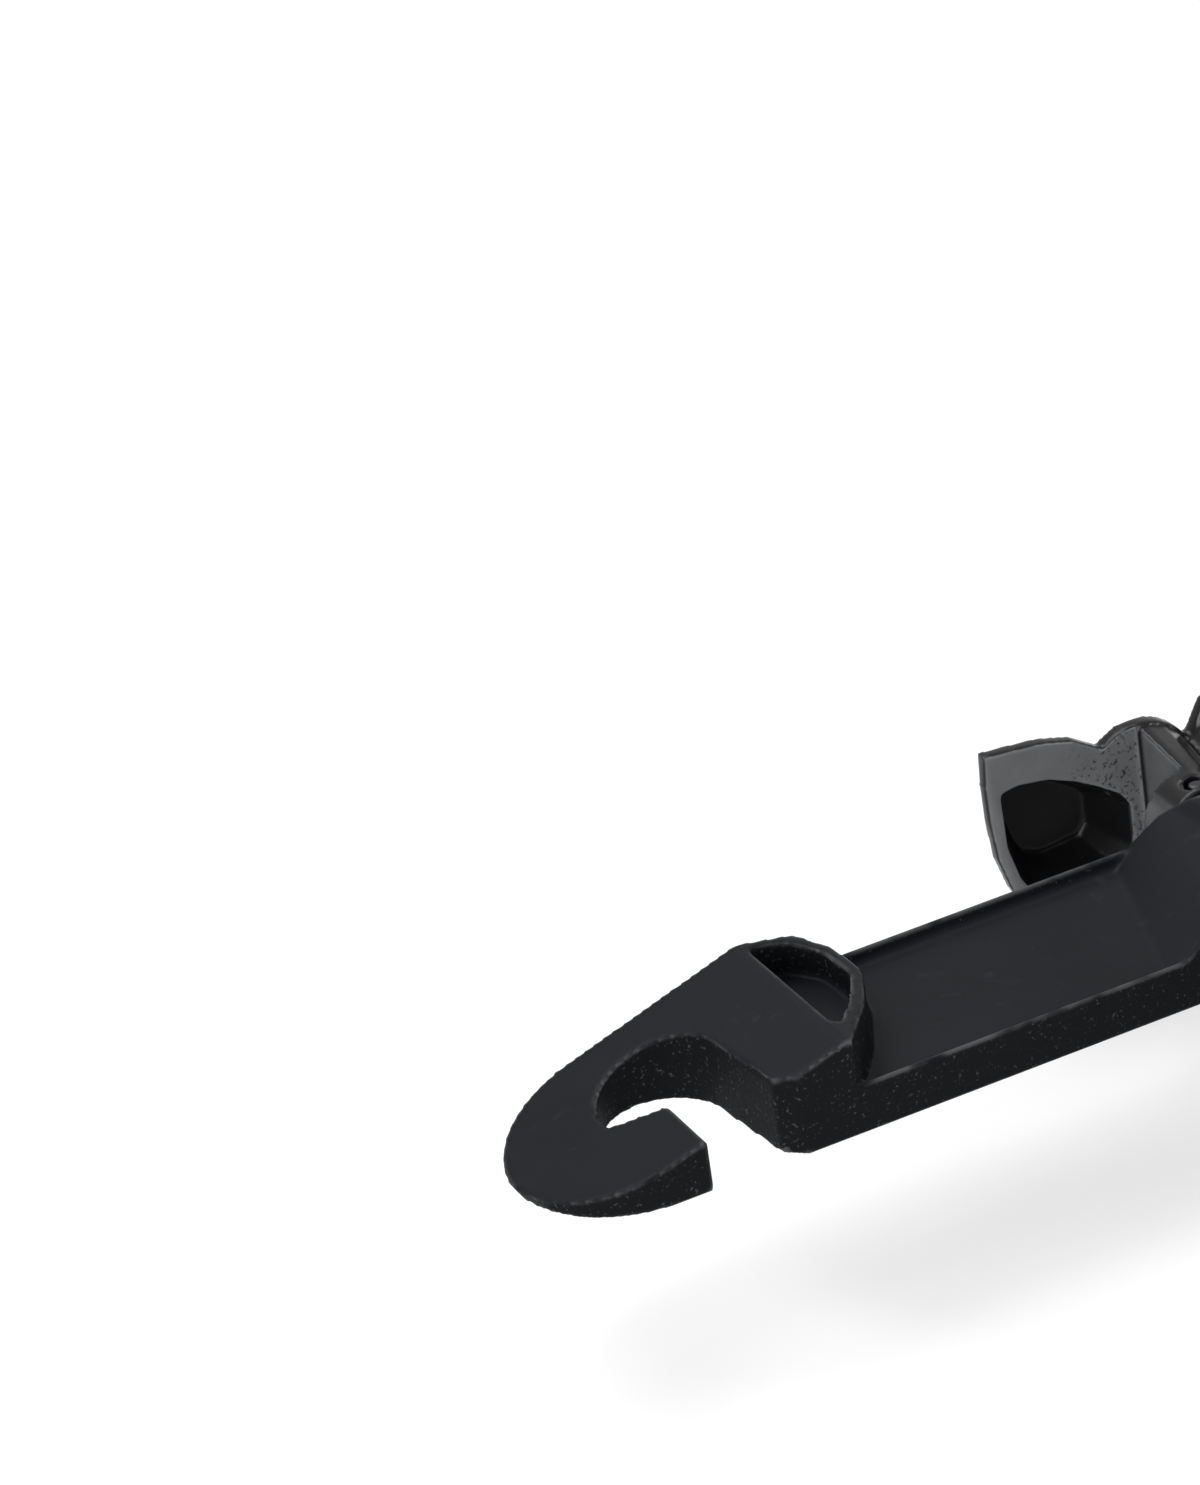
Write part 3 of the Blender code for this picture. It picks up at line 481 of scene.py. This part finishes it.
def settle(obj):
    """Replace an object's mesh by what its modifiers make of it."""
    graph = bpy.context.evaluated_depsgraph_get()
    mesh = bpy.data.meshes.new_from_object(obj.evaluated_get(graph))
    obj.modifiers.clear()
    old = obj.data
    obj.data = mesh
    bpy.data.meshes.remove(old)


def helper(name, bm):
    """A cutter or an addition, used once and then removed."""
    bmesh.ops.recalc_face_normals(bm, faces=bm.faces)
    mesh = bpy.data.meshes.new(name)
    bm.to_mesh(mesh)
    bm.free()
    obj = bpy.data.objects.new(name, mesh)
    bpy.context.scene.collection.objects.link(obj)
    return obj


def carve(obj, tools, operation="DIFFERENCE"):
    """Cut tools out of a piece, or add them to it, and remove them."""
    for tool in tools:
        boolean = obj.modifiers.new("carve", "BOOLEAN")
        boolean.operation = operation
        boolean.object = tool
    settle(obj)
    for tool in tools:
        bpy.data.objects.remove(tool, do_unlink=True)


def soften(obj, cell, rounds=2, factor=0.5):
    """Rebuild the surface from even cells and relax it, which rounds every edge a little."""
    remesh = obj.modifiers.new("cells", "REMESH")
    remesh.mode = "VOXEL"
    remesh.voxel_size = cell
    if rounds:
        smooth = obj.modifiers.new("relax", "SMOOTH")
        smooth.factor = factor
        smooth.iterations = rounds
    settle(obj)
    obj.data.shade_smooth()


def dress(obj, node, material):
    """Give a piece its material, and put it in its node's place."""
    obj.data.materials.clear()
    obj.data.materials.append(material)
    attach(obj, frame["nodes"][node]["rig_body"])
    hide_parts(node)
    return obj


def softened(node, name, cell, material, rounds=2):
    """A finished piece in the shape of a frame node, with its edges a little rounded."""
    obj = copy_of(node, name)
    soften(obj, cell, rounds)
    return dress(obj, node, material)


def rod(middle, radius, length, axis="X", sides=24):
    """A round bar along one of the axes, as a helper."""
    turns = {"X": Matrix.Rotation(math.pi / 2, 4, "Y"), "Y": Matrix.Rotation(math.pi / 2, 4, "X"),
             "Z": Matrix.Identity(4)}
    bm = bmesh.new()
    bmesh.ops.create_cone(bm, cap_ends=True, segments=sides, radius1=radius, radius2=radius,
                          depth=length, matrix=Matrix.Translation(middle) @ turns[axis])
    return helper("rod", bm)


# ---------------------------------------------------------------- operators

class OPENER_OT_body(bpy.types.Operator):
    """Build the moulded body: hook, lug, shank, head and upper handle"""
    bl_idname = "opener.body"
    bl_label = "Moulded Body"

    def execute(self, context):
        detail = context.scene.opener_detail
        look = context.scene.opener_finish
        material = moulded_black("body_plastic", look.moulding, look.spark_depth)
        body = copy_of("main_body", "moulded_body")
        soften(body, detail.moulding_cell)
        dress(body, "main_body", material)
        return {"FINISHED"}


class OPENER_OT_lever(bpy.types.Operator):
    """Build the moulded cutter lever and the two end caps"""
    bl_idname = "opener.lever"
    bl_label = "Moulded Lever and Caps"

    def execute(self, context):
        detail = context.scene.opener_detail
        look = context.scene.opener_finish
        material = moulded_black("lever_plastic", look.moulding, look.spark_depth)
        softened("lower_handle", "moulded_lever", detail.moulding_cell, material)
        for node in ("hanging_cap", "lower_cap"):
            softened(node, node + "_moulding", detail.moulding_cell, material)
        return {"FINISHED"}


class OPENER_OT_key(bpy.types.Operator):
    """Build the glossy turning key"""
    bl_idname = "opener.key"
    bl_label = "Turning Key"

    def execute(self, context):
        detail = context.scene.opener_detail
        material = glossy_black("key_plastic", context.scene.opener_finish.key)
        softened("turning_key", "moulded_key", detail.key_cell, material)
        return {"FINISHED"}


class OPENER_OT_grips(bpy.types.Operator):
    """Build the soft grip pads with grooves across them"""
    bl_idname = "opener.grips"
    bl_label = "Grip Pads"

    def execute(self, context):
        pitch = context.scene.opener_detail.rib_pitch
        material = soft_grip("grip_rubber", context.scene.opener_finish.grip)
        for node in ("upper_grip", "lower_grip"):
            pad = copy_of(node, node + "_pad")
            low, high = (Vector(corner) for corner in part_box(node))
            face_z = high.z if node == "upper_grip" else low.z
            grooves = []
            count = int((high.x - low.x) * GROOVED_SHARE / pitch)
            for index in range(count):
                x = (low.x + high.x) / 2 + (index - (count - 1) / 2) * pitch
                along = (x - low.x) / (high.x - low.x)
                crown = PAD_CROWN * (1 - math.sin(math.pi * along)) if node == "upper_grip" else 0.0
                grooves.append(rod((x, MIDDLE_Y, face_z - crown), GROOVE_RADIUS, GROOVE_LENGTH, "Y", 12))
            carve(pad, grooves)
            soften(pad, PAD_CELL)
            dress(pad, node, material)
        return {"FINISHED"}


class OPENER_OT_wheels(bpy.types.Operator):
    """Build the cutter and feed wheels and their gears"""
    bl_idname = "opener.wheels"
    bl_label = "Wheels and Gears"

    def execute(self, context):
        cell = context.scene.opener_detail.small_cell
        steel = tuple(context.scene.opener_finish.steel)
        feed = ground_steel("feed_steel", (0.38, 0.39, 0.41), KEY_AXIS, FEED_GROUND_FROM)
        cutter = ground_steel("cutter_steel", (0.40, 0.41, 0.43), CUTTER_AXIS, CUTTER_GROUND_FROM)
        softened("feed_wheel", "serrated_feed_wheel", cell, feed, 1)
        softened("cutter_wheel", "sharp_cutter_wheel", CUTTER_CELL, cutter, 1)
        for node, axis in (("drive_gear", KEY_AXIS), ("cutter_gear", CUTTER_AXIS)):
            material = turned_steel(node + "_steel", steel, axis, 0.3)
            softened(node, "machined_" + node, cell, material, 1)
        return {"FINISHED"}


class OPENER_OT_hardware(bpy.types.Operator):
    """Finish the plates, screws, nuts, washers, pins and bushes"""
    bl_idname = "opener.hardware"
    bl_label = "Steel Hardware"

    def execute(self, context):
        cell = context.scene.opener_detail.small_cell
        steel = tuple(context.scene.opener_finish.steel)
        on_axis = {
            "key": (KEY_AXIS, ("thrust_washer", "drive_shaft", "feed_nut")),
            "cutter": (CUTTER_AXIS, ("cutter_spacer", "cutter_axle", "cutter_nut")),
            "pivot": (PIVOT_AXIS, ("pivot_pin", "pivot_washer", "pivot_clip")),
        }
        for group, (axis, nodes) in on_axis.items():
            material = turned_steel(group + "_hardware_steel", steel, axis)
            for node in nodes:
                softened(node, "finished_" + node, cell, material, 1)
        blacked = plate_steel("blacked_pin_steel", BLACKED_STEEL)
        softened("key_pin", "finished_key_pin", cell, blacked, 1)
        sheet = plate_steel("sheet_steel", steel)
        for node in ("head_plate", "jaw_plate"):
            softened(node, "pressed_" + node, cell, sheet, 1)
        for node in ("head_screw_front", "head_screw_back", "jaw_screw_front", "jaw_screw_back"):
            low, high = (Vector(corner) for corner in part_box(node))
            material = turned_steel(node + "_steel", steel, (low + high) / 2)
            frame["nodes"][node].data.materials.clear()
            frame["nodes"][node].data.materials.append(material)
        bronze = sintered_bronze("bush_bronze")
        for node in ("near_bush", "far_bush"):
            frame["nodes"][node].data.materials.clear()
            frame["nodes"][node].data.materials.append(bronze)
        return {"FINISHED"}


def softbox(name, place, target, size, power, colour):
    """A soft rectangular lamp that faces a target."""
    light = bpy.data.lights.new(name, "AREA")
    light.shape = "RECTANGLE"
    light.size, light.size_y = size
    light.energy = power
    light.color = colour
    obj = bpy.data.objects.new(name, light)
    bpy.context.scene.collection.objects.link(obj)
    obj.location = place
    obj.rotation_euler = (Vector(place) - Vector(target)).to_track_quat("Z", "Y").to_euler()


def pale_floor():
    """A wide flat sheet under the opener."""
    bpy.ops.mesh.primitive_grid_add(x_subdivisions=2, y_subdivisions=2, size=6.0)
    floor = bpy.context.object
    floor.name = "studio_floor"
    floor.location.z = -0.00005
    finish = Finish("studio_floor_paint", (0.86, 0.86, 0.86), 0.9, Specular_IOR_Level=0.1)
    light_path = finish.tree.nodes.new("ShaderNodeLightPath")
    glow = finish.node("ShaderNodeEmission", None, {"Color": (1, 1, 1, 1), "Strength": 1.0},
                       "Emission")
    seen = Value(finish, light_path.outputs["Is Camera Ray"]) * 0.6
    surface = finish.node("ShaderNodeMixShader", None, {
        0: seen, 1: Value(finish, finish.shader.outputs[0]), 2: glow}, 0)
    output = finish.tree.nodes["Material Output"]
    finish.tree.links.new(surface.socket, output.inputs["Surface"])
    floor.data.materials.append(finish.material)


def pale_world(scene):
    """Soft even light, with a white background for the camera and for reflections."""
    world = bpy.data.worlds.new("studio_world")
    scene.world = world
    world.use_nodes = True
    tree = world.node_tree
    background = tree.nodes["Background"]
    background.inputs["Color"].default_value = (1.0, 1.0, 1.0, 1.0)
    path = tree.nodes.new("ShaderNodeLightPath")
    seen = tree.nodes.new("ShaderNodeMath")
    seen.operation = "MAXIMUM"
    tree.links.new(path.outputs["Is Camera Ray"], seen.inputs[0])
    tree.links.new(path.outputs["Is Transmission Ray"], seen.inputs[1])
    mirrored = tree.nodes.new("ShaderNodeMath")
    mirrored.operation = "MAXIMUM"
    tree.links.new(seen.outputs[0], mirrored.inputs[0])
    tree.links.new(path.outputs["Is Glossy Ray"], mirrored.inputs[1])
    strength = tree.nodes.new("ShaderNodeMapRange")
    strength.inputs["To Min"].default_value = 0.45
    strength.inputs["To Max"].default_value = 1.0
    tree.links.new(mirrored.outputs[0], strength.inputs["Value"])
    tree.links.new(strength.outputs[0], background.inputs["Strength"])


class OPENER_OT_stage(bpy.types.Operator):
    """Set up the floor, the lights and the camera"""
    bl_idname = "opener.stage"
    bl_label = "Studio Stage"

    def execute(self, context):
        scene = context.scene
        stage = scene.opener_stage
        pale_floor()
        pale_world(scene)
        power = stage.light
        softbox("top_softbox", (-0.15, 0.35, 0.75), (-0.04, 0, 0.02), (0.7, 0.5), 7.0 * power,
                (1.0, 1.0, 1.0))
        softbox("front_softbox", (-0.75, -0.55, 0.45), (-0.04, 0, 0.02), (0.6, 0.6), 6.0 * power,
                (1.0, 1.0, 1.0))
        softbox("side_softbox", (0.7, -0.35, 0.5), (0.0, 0, 0.02), (0.4, 0.5), 3.0 * power,
                (1.0, 1.0, 1.0))
        turn = Matrix.Rotation(stage.azimuth, 3, "Z")
        tilt = Matrix.Rotation(math.pi / 2 - stage.elevation, 3, "X")
        facing = turn @ tilt @ Matrix.Rotation(-stage.roll, 3, "Z")
        right, up, back = facing.col
        aim = DATUM + Vector((0.0, BAR_HALF, 0.0))
        camera = bpy.data.cameras.new("studio_camera")
        camera.lens = stage.lens
        camera.sensor_width = 36.0
        camera.clip_start = 0.01
        holder = bpy.data.objects.new("studio_camera", camera)
        scene.collection.objects.link(holder)
        holder.matrix_world = facing.to_4x4()
        holder.location = aim + back * stage.distance + right * stage.shift + up * stage.rise
        scene.camera = holder
        scene.view_settings.view_transform = "Standard"
        return {"FINISHED"}


class OPENER_PT_panel(bpy.types.Panel):
    """Lists the opener's build steps and settings"""
    bl_idname = "OPENER_PT_panel"
    bl_label = "Can Opener"
    bl_space_type = "VIEW_3D"
    bl_region_type = "UI"
    bl_category = "Can Opener"

    def draw(self, context):
        column = self.layout.column()
        for operator in OPERATORS:
            column.operator(operator.bl_idname)
        for group in (context.scene.opener_finish, context.scene.opener_detail,
                      context.scene.opener_stage):
            for name in group.__annotations__:
                column.prop(group, name)


OPERATORS = (OPENER_OT_stage, OPENER_OT_body, OPENER_OT_lever, OPENER_OT_key, OPENER_OT_grips,
             OPENER_OT_wheels, OPENER_OT_hardware)
CLASSES = (OpenerFinish, OpenerDetail, OpenerStage, *OPERATORS, OPENER_PT_panel)


def register():
    for cls in CLASSES:
        bpy.utils.register_class(cls)
    bpy.types.Scene.opener_finish = bpy.props.PointerProperty(type=OpenerFinish)
    bpy.types.Scene.opener_detail = bpy.props.PointerProperty(type=OpenerDetail)
    bpy.types.Scene.opener_stage = bpy.props.PointerProperty(type=OpenerStage)


def unregister():
    del bpy.types.Scene.opener_stage
    del bpy.types.Scene.opener_detail
    del bpy.types.Scene.opener_finish
    for cls in reversed(CLASSES):
        bpy.utils.unregister_class(cls)


def main():
    register()
    bpy.ops.opener.stage()
    bpy.ops.opener.body()
    bpy.ops.opener.lever()
    bpy.ops.opener.key()
    bpy.ops.opener.grips()
    bpy.ops.opener.wheels()
    bpy.ops.opener.hardware()


if __name__ == "__main__":
    main()
